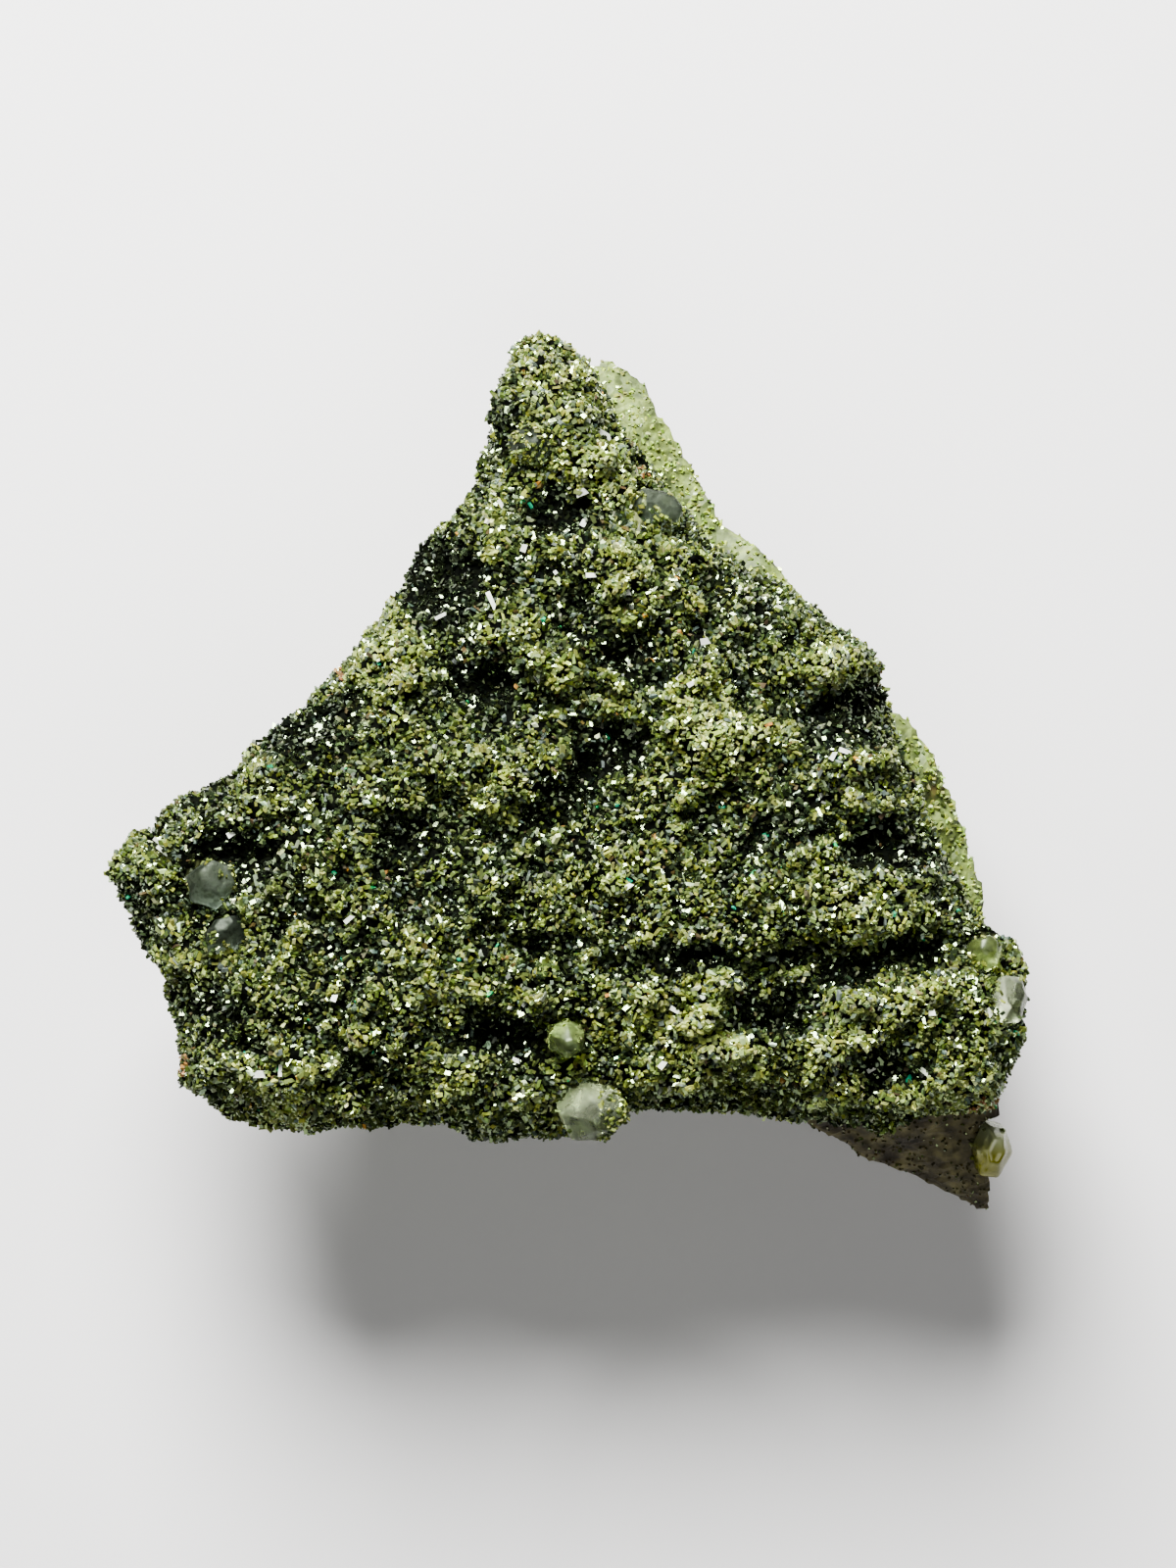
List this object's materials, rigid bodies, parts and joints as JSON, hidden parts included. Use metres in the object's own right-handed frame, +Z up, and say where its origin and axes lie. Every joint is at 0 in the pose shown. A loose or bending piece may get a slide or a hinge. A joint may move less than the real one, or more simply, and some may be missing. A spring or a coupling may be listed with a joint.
{
  "type": "epidote crystal druse",
  "caption": "Small mineral specimen, about 5 cm across: a lumpy druse of small olive-green epidote crystals on pale green rock, with a few clear quartz crystals.",
  "frame": {"origin": "middle of the bounding box's underside, on the rock's flat foot", "axes": "+Z up, out of the druse; +Y towards the pointed tip of the druse; +X towards the side with the fin of rock"},
  "size_m": [0.0502, 0.0486, 0.0244],
  "materials": {
    "epidote": "glassy olive-green crystals",
    "epidote_rock": "dull pale green broken rock",
    "quartz": "clear to frosted crystal"
  },
  "bodies": {
    "root": {"epidote_crust": "epidote", "rock_matrix": "epidote_rock", "quartz_left": "quartz", "quartz_left_lower": "quartz", "quartz_middle": "quartz", "quartz_bottom": "quartz", "quartz_right": "quartz", "quartz_right_inner": "quartz", "quartz_upper": "quartz", "quartz_tip": "quartz", "quartz_corner": "quartz"}
  },
  "joints": []
}
